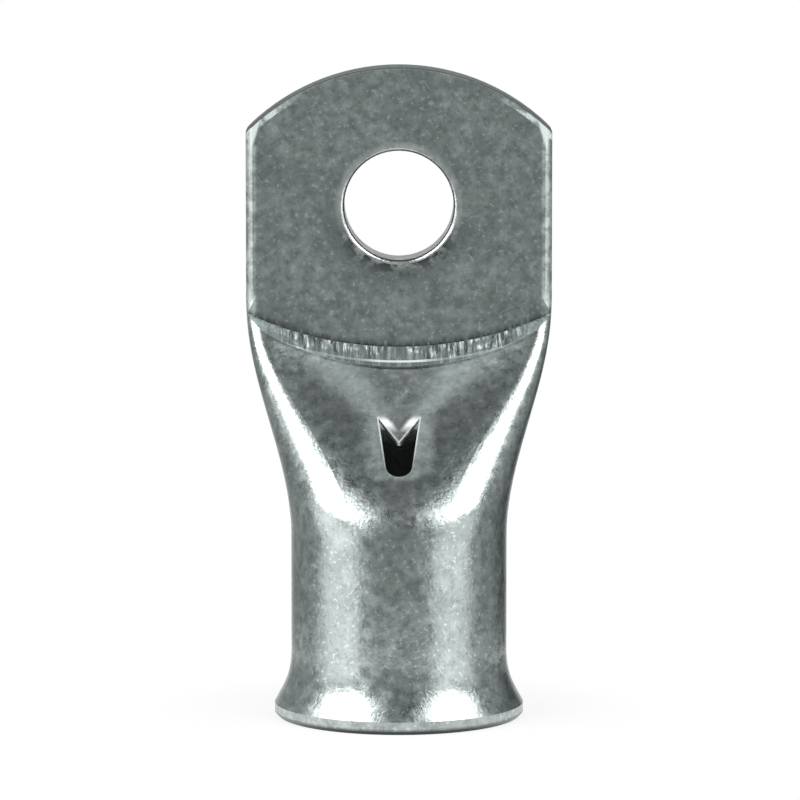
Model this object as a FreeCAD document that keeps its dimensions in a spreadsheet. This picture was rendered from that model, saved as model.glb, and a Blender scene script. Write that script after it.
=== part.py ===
"""Compression lug: one copper tube with a belled wire mouth, pressed flat into a palm with a stud hole.

The axis of the barrel is Z, with the wire mouth at the bottom and z = 0 at the rim that it stands on.
The palm stands at the top, its back flush with the back of the barrel (+Y), and the sloping pressed
front with the sight hole faces -Y.
"""
import FreeCAD, Part
import math
import os

import Sketcher

Vector = FreeCAD.Vector

# Driving dimensions in millimetres, and angles in degrees
SIZES = {
    "overall_length": (49.25, "from the rim of the mouth to the top of the palm"),
    "barrel_diameter": (16.44, "outside of the tube"),
    "wall": (2.0, "wall of the tube"),
    "mouth_flare": (1.28, "how far the belled mouth opens beyond the tube, all round"),
    "flare_angle": (28.5, "slope of the bell against the axis"),
    "flare_cone": (1.133, "straight part of the bell's outside, between its sweep and its rim"),
    "rim_land": (0.7, "short upright stretch round the rim of the mouth"),
    "rim_chamfer": (0.3, "chamfer on the rim's lower edge"),
    "transition_start": (14.0, "height at which the tube begins to widen"),
    "transition_length": (17.2, "height over which round turns into flat"),
    "palm_width": (23.5, "across the palm"),
    "palm_squeeze": (0.05, "how much thinner than two walls the palm is pressed"),
    "palm_corner": (0.9, "rounding along the sides of the palm"),
    "tip_radius": (16.6, "arc that ends the palm"),
    "tip_corner": (0.5, "rounding where the arc meets the sides"),
    "crease_level": (27.87, "lowest point of the palm's pressed face"),
    "crease_radius": (28.0, "arc of the pressed shoulder, seen from the front"),
    "shoulder_draft": (26.0, "lean of the shoulder's step"),
    "stud_hole": (8.4, "clearance hole for the stud"),
    "stud_setback": (10.6, "from the top of the palm to the centre of the stud hole"),
    "stud_rollover": (0.35, "rounding where the punch went in"),
    "sight_level": (19.0, "bottom of the sight hole"),
    "sight_height": (5.4, "length of the sight hole along the slope"),
    "sight_width": (2.0, "across the round bottom of the sight hole"),
    "sight_top_width": (3.1, "across the two upper corners of the sight hole"),
    "tongue_drop": (2.3, "how far the pointed tongue hangs into the sight hole"),
    "tongue_thickness": (0.35, "thickness of the tongue"),
    "seam_gap": (0.12, "joint between the two walls at the top end"),
    "seam_depth": (0.3, "depth of that joint"),
}

# Where the pressed length is cut into sections, as shares of transition_length
OUTSIDE_STATIONS = (0.0, 0.1, 0.22, 0.36, 0.5, 0.64, 0.78, 0.9)
CAVITY_STATIONS = (0.0, 0.18, 0.38, 0.57)
# Straight runs that keep the loft tangent to the barrel below and to the palm above
LEAD_IN = 1.0
LEAD_OUT = 1.0
# Metal left in front of the palm's face, which the pressed face then takes off to leave one plane
PRESS_STOCK = 0.08
# Hollow of the pressed front between its two ridges: its turn in degrees and the share where it starts
DISH_TURN = 10.0
DISH_START = 0.35
# Share of the height over which the pressed front eases into its slope, and out of it
EASE = 0.2
# Where the cavity is nearly flat, where it has closed, and the slit left there
CAVITY_FLAT = 0.74
CAVITY_END = 0.83
CAVITY_GAP = 0.12
SLIT_ROUND = 0.35
# Depths of the two cuts of the sight hole, as shares of the wall and of the tongue that they pass through
WELL_DEPTH = 1.5
TONGUE_DEPTH = 1.05
# Blunt point of the tongue
TONGUE_ROUND = 0.25
# Slack that a cutting outline has outside the metal
CLEAR = 2.0

FRONT = math.radians(-90.0)
BACK = math.radians(90.0)


def size(name):
    return SIZES[name][0]


def widening(share):
    """How far the half width has gone from tube to palm, smooth at both ends."""
    return share * share * (3 - 2 * share)


def sinking(share):
    """How far the front has sunk from tube to palm: a straight ramp with eased ends."""
    if share < EASE:
        return share * share / (2 * EASE * (1 - EASE))
    if share > 1 - EASE:
        return 1 - (1 - share) ** 2 / (2 * EASE * (1 - EASE))
    return (share - EASE / 2) / (1 - EASE)


def determinant(a, b, c):
    return (
        a[0] * (b[1] * c[2] - b[2] * c[1])
        - a[1] * (b[0] * c[2] - b[2] * c[0])
        + a[2] * (b[0] * c[1] - b[1] * c[0])
    )


def pressed_arcs(share, tube, half_width, thickness, corner, back, inset=0.0):
    """Eight tangent arcs round the section at this share, each as centre x, centre y and radius.

    The arcs turn through angles that depend on the share alone, so every centre and radius is a
    straight sum of the lengths given. A tube's arcs all come out as one circle, and an inset gives
    the same section a wall further in.
    """
    half = tube + (half_width - tube) * widening(share)
    depth = 2 * tube - (2 * tube - thickness) * sinking(share)
    front_corner = corner + (tube - corner) * (1 - share) ** 1.75
    back_corner = corner + (tube - corner) * (1 - share**1.6)
    crown, front_end, back_end, rear = section_turns(share)
    rows = (
        (math.sin(crown), 1 - math.sin(front_end), 0.0),
        (0.0, 1 - math.sin(back_end), math.sin(rear)),
        (1 - math.cos(crown), math.cos(front_end) + math.cos(back_end), 1 - math.cos(rear)),
    )
    known = (
        half - front_corner * (math.sin(front_end) - math.sin(crown)),
        half - back_corner * (math.sin(back_end) - math.sin(rear)),
        depth
        - front_corner * (math.cos(crown) - math.cos(front_end))
        - back_corner * (math.cos(rear) - math.cos(back_end)),
    )
    columns = list(zip(*rows))
    whole = determinant(*columns)
    front = determinant(known, columns[1], columns[2]) / whole
    side = determinant(columns[0], known, columns[2]) / whole
    rear_radius = determinant(columns[0], columns[1], known) / whole
    front_centre = back - depth + front
    corner_x = (front - front_corner) * math.sin(crown)
    corner_y = front_centre - (front - front_corner) * math.cos(crown)
    rear_centre = back - rear_radius
    rear_x = (rear_radius - back_corner) * math.sin(rear)
    rear_y = rear_centre + (rear_radius - back_corner) * math.cos(rear)
    side_x = corner_x + (front_corner - side) * math.sin(front_end)
    side_y = corner_y - (front_corner - side) * math.cos(front_end)
    return [
        (0.0, front_centre, front - inset),
        (corner_x, corner_y, front_corner - inset),
        (side_x, side_y, side - inset),
        (rear_x, rear_y, back_corner - inset),
        (0.0, rear_centre, rear_radius - inset),
        (-rear_x, rear_y, back_corner - inset),
        (-side_x, side_y, side - inset),
        (-corner_x, corner_y, front_corner - inset),
    ]


def section_turns(share):
    """Angles from straight ahead at which the front, its corners, the back corners and the back end.

    The front's angle turns negative where the front is hollow between its ridges.
    """
    hollow = max(0.0, (share - DISH_START) / (1 - DISH_START)) ** 2
    crown = math.radians(30.0 * (1 - share) ** 3 - DISH_TURN * math.sin(math.pi * hollow))
    corner_end = math.radians(66.0 + 20.0 * share)
    rear = math.radians(30.0 * (1 - share * share))
    return crown, corner_end, corner_end, rear


def arc_limits(share):
    """Start and end angle of each of the eight arcs, anticlockwise seen from above."""
    crown, front_end, back_end, rear = section_turns(share)
    stops = [
        FRONT - crown,
        FRONT + crown,
        FRONT + front_end,
        BACK - back_end,
        BACK - rear,
        BACK + rear,
        BACK + back_end,
        math.radians(270.0) - front_end,
        math.radians(270.0) - crown,
    ]
    return list(zip(stops[:-1], stops[1:]))


def arc_end(one_arc, angle):
    """The point of an arc, given as centre x, centre y and radius, at this angle."""
    x, y, radius = one_arc
    return x + radius * math.cos(angle), y + radius * math.sin(angle)


# Document, sheet and body
doc = FreeCAD.newDocument("compression_lug")
sheet = doc.addObject("Spreadsheet::Sheet", "dims")
for row, (name, (value, note)) in enumerate(SIZES.items(), start=1):
    sheet.set("A%d" % row, note)
    sheet.set("B%d" % row, str(value))
    sheet.setAlias("B%d" % row, name)
doc.recompute()

body = doc.addObject("PartDesign::Body", "lug")
body.Label = "lug"
body.Placement = FreeCAD.Placement()


def plane(role):
    return next(item for item in body.Origin.OriginFeatures if item.Role == role)


def new_sketch(name, role, offsets=None):
    """A sketch on an origin plane; offsets binds parts of its AttachmentOffset to the sheet."""
    sketch = body.newObject("Sketcher::SketchObject", name)
    sketch.AttachmentSupport = [(plane(role), "")]
    sketch.MapMode = "FlatFace"
    for path, formula in (offsets or {}).items():
        sketch.setExpression("AttachmentOffset." + path, formula)
    return sketch


def bind(sketch, formula, *constraint):
    """Add one driving constraint, whose last argument is its first value, and tie it to the sheet."""
    index = sketch.addConstraint(Sketcher.Constraint(*constraint))
    sketch.setExpression("Constraints[%d]" % index, formula)
    return index


def join_arcs(sketch, hollow):
    """Close the chain of eight arcs. A hollow first arc is drawn the other way round."""
    last, first = (1, 2) if hollow else (2, 1)
    sketch.addConstraint(Sketcher.Constraint("Coincident", 0, last, 1, 1))
    for index in range(1, 7):
        sketch.addConstraint(Sketcher.Constraint("Coincident", index, 2, index + 1, 1))
    sketch.addConstraint(Sketcher.Constraint("Coincident", 7, 2, 0, first))


def line(x1, y1, x2, y2):
    return Part.LineSegment(Vector(x1, y1, 0), Vector(x2, y2, 0))


def arc(x, y, radius, start, end):
    return Part.ArcOfCircle(Part.Circle(Vector(x, y, 0), Vector(0, 0, 1), radius), start, end)


TUBE = "dims.barrel_diameter / 2"
PALM = "(2 * dims.wall - dims.palm_squeeze)"
BORE = "(dims.barrel_diameter / 2 - dims.wall)"
HALF = "dims.palm_width / 2"
PALM_FRONT = TUBE + " - " + PALM
HALF_INSIDE = "(dims.palm_width / 2 - dims.wall)"
RIM = "(dims.barrel_diameter / 2 + dims.mouth_flare)"
FLARE = "dims.flare_angle * 1 deg"
SWEEP = "(dims.mouth_flare - dims.flare_cone * sin(%s)) / (1 - cos(%s))" % (FLARE, FLARE)


def sum_formula(shares, terms):
    parts = ["(%.10f) * %s" % (share, term) for share, term in zip(shares, terms)]
    return " + ".join(parts)


def pressed_sketch(name, share, lengths, terms, drop=0.0):
    """One section of the pressed length, its arcs bound to the sheet.

    lengths and terms give the same lengths, as numbers and as formulas: the tube's radius, the
    palm's half width and thickness, the corner radius, the level of the back and any inset.
    """
    level = "dims.transition_start + dims.transition_length * %.4f - %.4f" % (share, drop)
    sketch = new_sketch(name, "XY_Plane", {"Base.z": level})
    arcs = pressed_arcs(share, *lengths)
    hollow = arcs[0][2] < 0
    for (x, y, radius), (start, end) in zip(arcs, arc_limits(share)):
        if radius < 0:
            start, end = end + math.pi, start + math.pi
        sketch.addGeometry(arc(x, y, abs(radius), start, end), False)
    shares = []
    for index in range(len(lengths)):
        unit = [1.0 if index == other else 0.0 for other in range(len(lengths))]
        shares.append(pressed_arcs(share, *unit))
    join_arcs(sketch, hollow)
    for right, right_end, left in ((1, 1, 7), (2, 1, 6), (2, 2, 5), (3, 2, 4)):
        sketch.addConstraint(Sketcher.Constraint("Symmetric", right, right_end, left, 2, -2))
    for right, left in ((1, 7), (2, 6), (3, 5)):
        sketch.addConstraint(Sketcher.Constraint("Equal", right, left))
    for index in range(5):
        radius = sum_formula([item[index][2] for item in shares], terms)
        if index == 0 and hollow:
            radius = "-(%s)" % radius
        bind(sketch, radius, "Radius", index, abs(arcs[index][2]))
    for index in range(4):
        angle = arc_limits(share)[index][1]
        ends = [arc_end(item[index], angle) for item in shares]
        x, y = arc_end(arcs[index], angle)
        bind(sketch, sum_formula([end[0] for end in ends], terms), "DistanceX", -1, 1, index + 1, 1, x)
        bind(sketch, sum_formula([end[1] for end in ends], terms), "DistanceY", -1, 1, index + 1, 1, y)
    return sketch


def slab_sketch(name, level, half, front, back, corner, formulas):
    """A flat rounded section, with its edges in the order of the pressed sections."""
    sketch = new_sketch(name, "XY_Plane", {"Base.z": level})
    right = half - corner
    low = front + corner
    high = back - corner
    quarter = math.pi / 2
    edges = [
        line(-right, front, right, front),
        arc(right, low, corner, -quarter, 0.0),
        line(half, low, half, high),
        arc(right, high, corner, 0.0, quarter),
        line(right, back, -right, back),
        arc(-right, high, corner, quarter, 2 * quarter),
        line(-half, high, -half, low),
        arc(-right, low, corner, 2 * quarter, 3 * quarter),
    ]
    for edge in edges:
        sketch.addGeometry(edge, False)
    for index in range(8):
        sketch.addConstraint(Sketcher.Constraint("Tangent", index, 2, (index + 1) % 8, 1))
    sketch.addConstraint(Sketcher.Constraint("Horizontal", 4))
    for index in (2, 6):
        sketch.addConstraint(Sketcher.Constraint("Vertical", index))
    sketch.addConstraint(Sketcher.Constraint("Symmetric", 0, 1, 0, 2, -2))
    for index in (3, 5, 7):
        sketch.addConstraint(Sketcher.Constraint("Equal", 1, index))
    bind(sketch, formulas["corner"], "Radius", 1, corner)
    bind(sketch, formulas["half"], "DistanceX", -1, 1, 2, 1, half)
    bind(sketch, formulas["front"], "DistanceY", -1, 1, 0, 1, front)
    bind(sketch, formulas["back"], "DistanceY", -1, 1, 4, 1, back)
    return sketch


# Barrel and bell: the wall's section turned about the axis
tube_radius = size("barrel_diameter") / 2
bore_radius = tube_radius - size("wall")
palm_half = size("palm_width") / 2
palm_thickness = 2 * size("wall") - size("palm_squeeze")
palm_front = tube_radius - palm_thickness
lean = math.radians(size("flare_angle"))
out_x, out_z = math.cos(lean), math.sin(lean)
rim_x = tube_radius + size("mouth_flare")
rim_edge = size("rim_chamfer")
rim_top = rim_edge + size("rim_land")
sweep = (size("mouth_flare") - size("flare_cone") * out_z) / (1 - out_x)
inner_sweep = sweep + size("wall")
sweep_x = tube_radius + sweep
sweep_z = rim_top + size("flare_cone") * out_x + sweep * out_z
outer_end = (sweep_x - sweep * out_x, sweep_z - sweep * out_z)
inner_start = (sweep_x - inner_sweep * out_x, sweep_z - inner_sweep * out_z)
inner_foot = inner_start[0] + inner_start[1] * out_z / out_x
barrel_top = size("transition_start") - LEAD_IN

wall_sketch = new_sketch("wall_section", "XZ_Plane")
for edge in (
    line(tube_radius, barrel_top, tube_radius, sweep_z),
    arc(sweep_x, sweep_z, sweep, math.pi, math.pi + lean),
    line(*outer_end, rim_x, rim_top),
    line(rim_x, rim_top, rim_x, rim_edge),
    line(rim_x, rim_edge, rim_x - rim_edge, 0.0),
    line(rim_x - rim_edge, 0.0, inner_foot, 0.0),
    line(inner_foot, 0.0, *inner_start),
    arc(sweep_x, sweep_z, inner_sweep, math.pi, math.pi + lean),
    line(bore_radius, sweep_z, bore_radius, barrel_top),
    line(bore_radius, barrel_top, tube_radius, barrel_top),
):
    wall_sketch.addGeometry(edge, False)
for first, first_end, second, second_end in ((0, 2, 1, 1), (1, 2, 2, 1), (6, 2, 7, 2), (7, 1, 8, 1)):
    wall_sketch.addConstraint(Sketcher.Constraint("Tangent", first, first_end, second, second_end))
for first, second in ((2, 3), (3, 4), (4, 5), (5, 6), (8, 9), (9, 0)):
    wall_sketch.addConstraint(Sketcher.Constraint("Coincident", first, 2, second, 1))
for index in (0, 3, 8):
    wall_sketch.addConstraint(Sketcher.Constraint("Vertical", index))
wall_sketch.addConstraint(Sketcher.Constraint("Horizontal", 9))
wall_sketch.addConstraint(Sketcher.Constraint("Horizontal", 1, 3, 7, 3))
wall_sketch.addConstraint(Sketcher.Constraint("Parallel", 2, 6))
wall_sketch.addConstraint(Sketcher.Constraint("PointOnObject", 5, 1, -1))
wall_sketch.addConstraint(Sketcher.Constraint("PointOnObject", 5, 2, -1))
bind(wall_sketch, TUBE, "DistanceX", -1, 1, 0, 1, tube_radius)
bind(wall_sketch, BORE, "DistanceX", -1, 1, 8, 2, bore_radius)
bind(wall_sketch, SWEEP, "Radius", 1, sweep)
bind(wall_sketch, SWEEP + " + dims.wall", "Radius", 7, inner_sweep)
bind(wall_sketch, RIM, "DistanceX", -1, 1, 3, 1, rim_x)
bind(wall_sketch, RIM + " - dims.rim_chamfer", "DistanceX", -1, 1, 4, 2, rim_x - rim_edge)
bind(wall_sketch, "dims.rim_chamfer", "DistanceY", -1, 1, 4, 1, rim_edge)
bind(wall_sketch, "dims.rim_chamfer + dims.rim_land", "DistanceY", -1, 1, 3, 1, rim_top)
bind(wall_sketch, "dims.transition_start - %.4f" % LEAD_IN, "DistanceY", -1, 1, 0, 1, barrel_top)
bind(wall_sketch, FLARE, "Angle", 1, lean)

barrel = body.newObject("PartDesign::Revolution", "barrel")
barrel.Profile = wall_sketch
barrel.ReferenceAxis = (wall_sketch, ["V_Axis"])
barrel.Angle = 360.0
doc.recompute()

# Pressed length: round below, flat above
outside = (tube_radius, palm_half, palm_thickness, size("palm_corner"), tube_radius)
outside_terms = (TUBE, HALF, PALM, "dims.palm_corner", TUBE)
sections = []
for name, drop in (("outside_lead", LEAD_IN), ("outside_half_lead", LEAD_IN / 2)):
    sections.append(pressed_sketch(name, 0.0, outside, outside_terms, drop))
for number, share in enumerate(OUTSIDE_STATIONS):
    sections.append(pressed_sketch("outside_%d" % number, share, outside, outside_terms))
stock_front = palm_front - PRESS_STOCK
palm_formulas = {
    "corner": "dims.palm_corner",
    "half": HALF,
    "front": PALM_FRONT + " - %.4f" % PRESS_STOCK,
    "back": TUBE,
}
palm_root = "dims.transition_start + dims.transition_length"
for name, level in (("palm_start", palm_root), ("palm_run", palm_root + " + %.4f" % LEAD_OUT)):
    sections.append(
        slab_sketch(
            name,
            level,
            palm_half,
            stock_front,
            tube_radius,
            size("palm_corner"),
            palm_formulas,
        )
    )
doc.recompute()
pressed = body.newObject("PartDesign::AdditiveLoft", "pressed_length")
pressed.Profile = sections[0]
pressed.Sections = sections[1:]
pressed.Ruled = False
pressed.Closed = False
doc.recompute()

# Palm: a straight slab from the end of the loft
palm_sketch = slab_sketch(
    "palm_section",
    palm_root + " + %.4f" % LEAD_OUT,
    palm_half,
    stock_front,
    tube_radius,
    size("palm_corner"),
    palm_formulas,
)
palm = body.newObject("PartDesign::Pad", "palm")
palm.Profile = palm_sketch
palm.setExpression("Length", "dims.overall_length - (%s + %.4f)" % (palm_root, LEAD_OUT))
doc.recompute()

# Cavity: the bore carried up into the pressed length until the two walls meet
half_inside = palm_half - size("wall")
inside = outside + (size("wall"),)
inside_terms = outside_terms + ("dims.wall",)
cavity_sections = [pressed_sketch("cavity_lead", 0.0, inside, inside_terms, LEAD_IN)]
for number, share in enumerate(CAVITY_STATIONS):
    cavity_sections.append(pressed_sketch("cavity_%d" % number, share, inside, inside_terms))
flat_left = 1 - sinking(CAVITY_FLAT)
flat_gap = 2 * bore_radius * flat_left
for name, share, gap, gap_formula in (
    ("cavity_flat", CAVITY_FLAT, flat_gap, "%.6f * 2 * %s" % (flat_left, BORE)),
    ("cavity_end", CAVITY_END, CAVITY_GAP, "%.4f" % CAVITY_GAP),
):
    spread = widening(share)
    cavity_sections.append(
        slab_sketch(
            name,
            "dims.transition_start + dims.transition_length * %.4f" % share,
            bore_radius + (half_inside - bore_radius) * spread,
            bore_radius - gap,
            bore_radius,
            gap * SLIT_ROUND,
            {
                "corner": "%.4f * %s" % (SLIT_ROUND, gap_formula),
                "half": sum_formula((1 - spread, spread), (BORE, HALF_INSIDE)),
                "front": "%s - %s" % (BORE, gap_formula),
                "back": BORE,
            },
        )
    )
doc.recompute()
cavity = body.newObject("PartDesign::SubtractiveLoft", "cavity")
cavity.Profile = cavity_sections[0]
cavity.Sections = cavity_sections[1:]
cavity.Ruled = True
cavity.Closed = False
doc.recompute()

# Pressed face of the palm: a cone, so that its step leans and its crease is an arc
face_sketch = new_sketch("pressed_face", "XZ_Plane", {"Base.z": "-(%s)" % PALM_FRONT})
crease_middle = size("crease_level") + size("crease_radius")
face_sketch.addGeometry(Part.Circle(Vector(0, crease_middle, 0), Vector(0, 0, 1), size("crease_radius")), False)
face_sketch.addConstraint(Sketcher.Constraint("PointOnObject", 0, 3, -2))
bind(face_sketch, "dims.crease_radius", "Radius", 0, size("crease_radius"))
bind(face_sketch, "dims.crease_level + dims.crease_radius", "DistanceY", -1, 1, 0, 3, crease_middle)
face = body.newObject("PartDesign::Pocket", "palm_face")
face.Profile = face_sketch
face.Reversed = True
face.setExpression("Length", "dims.barrel_diameter")
face.setExpression("TaperAngle", "dims.shoulder_draft * 1 deg")
doc.recompute()


def round_edge(shape, x, y, z):
    """Name of the circular edge whose centre lies nearest to this point."""
    circles = []
    for number, edge in enumerate(shape.Edges, start=1):
        if isinstance(edge.Curve, Part.Circle):
            circles.append((edge.Curve.Center.distanceToPoint(Vector(x, y, z)), number))
    return "Edge%d" % min(circles)[1]


def cut_through(name, sketch):
    """A pocket that goes right through the lug, front and back."""
    pocket = body.newObject("PartDesign::Pocket", name)
    pocket.Profile = sketch
    pocket.SideType = "Symmetric"
    pocket.setExpression("Length", "4 * dims.barrel_diameter")
    doc.recompute()
    return pocket


# Tip of the palm: an arc between two small rounded corners, sheared square
tip = size("tip_radius")
tip_corner = size("tip_corner")
tip_middle = size("overall_length") - tip
knee_x = palm_half - tip_corner
knee_z = tip_middle + math.sqrt((tip - tip_corner) ** 2 - knee_x**2)
knee_turn = math.atan2(knee_z - tip_middle, knee_x)
outer_x = palm_half + CLEAR
outer_z = size("overall_length") + CLEAR
tip_sketch = new_sketch("tip_outline", "XZ_Plane")
for edge in (
    line(palm_half, knee_z, outer_x, knee_z),
    line(outer_x, knee_z, outer_x, outer_z),
    line(outer_x, outer_z, -outer_x, outer_z),
    line(-outer_x, outer_z, -outer_x, knee_z),
    line(-outer_x, knee_z, -palm_half, knee_z),
    arc(-knee_x, knee_z, tip_corner, math.pi - knee_turn, math.pi),
    arc(0, tip_middle, tip, knee_turn, math.pi - knee_turn),
    arc(knee_x, knee_z, tip_corner, 0.0, knee_turn),
):
    tip_sketch.addGeometry(edge, False)
for first, first_end, second, second_end in (
    (0, 2, 1, 1),
    (1, 2, 2, 1),
    (2, 2, 3, 1),
    (3, 2, 4, 1),
    (4, 2, 5, 2),
    (7, 1, 0, 1),
):
    tip_sketch.addConstraint(Sketcher.Constraint("Coincident", first, first_end, second, second_end))
tip_sketch.addConstraint(Sketcher.Constraint("Tangent", 5, 1, 6, 2))
tip_sketch.addConstraint(Sketcher.Constraint("Tangent", 6, 1, 7, 2))
tip_sketch.addConstraint(Sketcher.Constraint("PointOnObject", 6, 3, -2))
tip_sketch.addConstraint(Sketcher.Constraint("Horizontal", 0))
tip_sketch.addConstraint(Sketcher.Constraint("Horizontal", 2))
tip_sketch.addConstraint(Sketcher.Constraint("Horizontal", 4))
tip_sketch.addConstraint(Sketcher.Constraint("Vertical", 1))
tip_sketch.addConstraint(Sketcher.Constraint("Vertical", 3))
tip_sketch.addConstraint(Sketcher.Constraint("Horizontal", 5, 3, 5, 2))
tip_sketch.addConstraint(Sketcher.Constraint("Horizontal", 7, 3, 7, 1))
tip_sketch.addConstraint(Sketcher.Constraint("Equal", 5, 7))
bind(tip_sketch, "dims.tip_corner", "Radius", 7, tip_corner)
bind(tip_sketch, "dims.tip_radius", "Radius", 6, tip)
bind(tip_sketch, "dims.overall_length - dims.tip_radius", "DistanceY", -1, 1, 6, 3, tip_middle)
bind(tip_sketch, HALF, "DistanceX", -1, 1, 0, 1, palm_half)
bind(tip_sketch, HALF, "DistanceX", 4, 2, -1, 1, palm_half)
bind(tip_sketch, HALF + " + %.2f" % CLEAR, "DistanceX", -1, 1, 1, 2, outer_x)
bind(tip_sketch, HALF + " + %.2f" % CLEAR, "DistanceX", 2, 2, -1, 1, outer_x)
bind(tip_sketch, "dims.overall_length + %.2f" % CLEAR, "DistanceY", -1, 1, 1, 2, outer_z)
cut_through("tip", tip_sketch)

# Stud hole, punched from the front
stud_level = size("overall_length") - size("stud_setback")
stud_sketch = new_sketch("stud_outline", "XZ_Plane")
stud_radius = size("stud_hole") / 2
stud_sketch.addGeometry(Part.Circle(Vector(0, stud_level, 0), Vector(0, 0, 1), stud_radius), False)
stud_sketch.addConstraint(Sketcher.Constraint("PointOnObject", 0, 3, -2))
bind(stud_sketch, "dims.stud_hole / 2", "Radius", 0, stud_radius)
bind(stud_sketch, "dims.overall_length - dims.stud_setback", "DistanceY", -1, 1, 0, 3, stud_level)
stud = cut_through("stud_hole", stud_sketch)
rim = body.newObject("PartDesign::Fillet", "stud_rim")
rim.Base = (stud, [round_edge(stud.Shape, 0, palm_front, stud_level)])
rim.setExpression("Radius", "dims.stud_rollover")
doc.recompute()

# Sight hole: cut square to the slope, with a thin pointed tongue left over its upper half
slope = "atan((dims.barrel_diameter - %s) / (dims.transition_length * %.4f))" % (PALM, 1 - EASE)
sight_share = "((dims.sight_level - dims.transition_start) / dims.transition_length - %.4f)" % (EASE / 2)
sight_front = "(%s - (dims.barrel_diameter - %s) * %s / %.4f)" % (TUBE, PALM, sight_share, 1 - EASE)


def slope_sketch(name, lift):
    """A sketch lying along the slope, lifted off it by this formula, with the bottom of the hole at 0, 0."""
    return new_sketch(
        name,
        "XZ_Plane",
        {
            "Rotation.Axis.x": "1",
            "Rotation.Axis.y": "0",
            "Rotation.Axis.z": "0",
            "Rotation.Angle": "-" + slope,
            "Base.y": "dims.sight_level + (%s) * sin(%s)" % (lift, slope),
            "Base.z": "%s + (%s) * cos(%s)" % (sight_front, lift, slope),
        },
    )


bowl = size("sight_width") / 2
horn_x = size("sight_top_width") / 2
horn_z = size("sight_height")
reach = math.hypot(horn_x, horn_z - bowl)
bowl_turn = math.atan2(horn_z - bowl, horn_x) - math.acos(bowl / reach)
side_start = (bowl * math.cos(bowl_turn), bowl + bowl * math.sin(bowl_turn))


def hole_outline(sketch):
    """The bowl and the two leaning sides that both cuts share, as edges 0, 1 and 2."""
    sketch.addGeometry(arc(0, bowl, bowl, math.pi - bowl_turn, 2 * math.pi + bowl_turn), False)
    sketch.addGeometry(line(*side_start, horn_x, horn_z), False)
    sketch.addGeometry(line(-horn_x, horn_z, -side_start[0], side_start[1]), False)
    sketch.addConstraint(Sketcher.Constraint("Tangent", 0, 2, 1, 1))
    sketch.addConstraint(Sketcher.Constraint("Tangent", 2, 2, 0, 1))
    sketch.addConstraint(Sketcher.Constraint("PointOnObject", 0, 3, -2))
    sketch.addConstraint(Sketcher.Constraint("Symmetric", 1, 2, 2, 1, -2))
    bind(sketch, "dims.sight_width / 2", "Radius", 0, bowl)
    bind(sketch, "dims.sight_width / 2", "DistanceY", -1, 1, 0, 3, bowl)
    bind(sketch, "dims.sight_top_width / 2", "DistanceX", -1, 1, 1, 2, horn_x)
    bind(sketch, "dims.sight_height", "DistanceY", -1, 1, 1, 2, horn_z)


well_sketch = slope_sketch("sight_well_outline", "-dims.tongue_thickness")
hole_outline(well_sketch)
well_sketch.addGeometry(line(horn_x, horn_z, -horn_x, horn_z), False)
well_sketch.addConstraint(Sketcher.Constraint("Coincident", 1, 2, 3, 1))
well_sketch.addConstraint(Sketcher.Constraint("Coincident", 3, 2, 2, 1))
well = body.newObject("PartDesign::Pocket", "sight_well")
well.Profile = well_sketch
well.setExpression("Length", "dims.wall * %.2f" % WELL_DEPTH)
doc.recompute()

tongue_tip = size("sight_height") - size("tongue_drop")
tongue_sketch = slope_sketch("sight_tongue_outline", "dims.wall")
hole_outline(tongue_sketch)
blunt = TONGUE_ROUND
drop = size("tongue_drop")
fork = math.hypot(horn_x, drop - blunt)
fork_turn = math.atan2(horn_x, drop - blunt) + math.acos(blunt / fork)
blunt_z = tongue_tip + blunt
touch = (blunt * math.sin(fork_turn), blunt_z + blunt * math.cos(fork_turn))
tongue_sketch.addGeometry(line(horn_x, horn_z, touch[0], touch[1]), False)
tongue_sketch.addGeometry(
    arc(0, blunt_z, blunt, math.pi * 1.5 - (math.pi - fork_turn), math.pi * 1.5 + (math.pi - fork_turn)),
    False,
)
tongue_sketch.addGeometry(line(-touch[0], touch[1], -horn_x, horn_z), False)
tongue_sketch.addConstraint(Sketcher.Constraint("Coincident", 1, 2, 3, 1))
tongue_sketch.addConstraint(Sketcher.Constraint("Tangent", 3, 2, 4, 2))
tongue_sketch.addConstraint(Sketcher.Constraint("Tangent", 4, 1, 5, 1))
tongue_sketch.addConstraint(Sketcher.Constraint("Coincident", 5, 2, 2, 1))
tongue_sketch.addConstraint(Sketcher.Constraint("PointOnObject", 4, 3, -2))
bind(tongue_sketch, "%.3f" % blunt, "Radius", 4, blunt)
bind(
    tongue_sketch,
    "dims.sight_height - dims.tongue_drop + %.3f" % blunt,
    "DistanceY",
    -1,
    1,
    4,
    3,
    blunt_z,
)
tongue = body.newObject("PartDesign::Pocket", "sight_tongue")
tongue.Profile = tongue_sketch
tongue.setExpression("Length", "dims.wall + dims.tongue_thickness * %.2f" % TONGUE_DEPTH)
doc.recompute()

# Seam: the line between the two pressed walls, open a little at the tip
seam_half = half_inside
seam_radius = tip - size("seam_depth")
seam_z = tip_middle + math.sqrt(seam_radius**2 - seam_half**2)
seam_turn = math.atan2(seam_z - tip_middle, seam_half)
seam_sketch = new_sketch("seam_outline", "XZ_Plane", {"Base.z": "-(%s - %s / 2)" % (TUBE, PALM)})
for edge in (
    arc(0, tip_middle, seam_radius, seam_turn, math.pi - seam_turn),
    line(-seam_half, seam_z, -seam_half, outer_z),
    line(-seam_half, outer_z, seam_half, outer_z),
    line(seam_half, outer_z, seam_half, seam_z),
):
    seam_sketch.addGeometry(edge, False)
for first, first_end, second, second_end in ((0, 2, 1, 1), (1, 2, 2, 1), (2, 2, 3, 1), (3, 2, 0, 1)):
    seam_sketch.addConstraint(Sketcher.Constraint("Coincident", first, first_end, second, second_end))
seam_sketch.addConstraint(Sketcher.Constraint("Vertical", 1))
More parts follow.
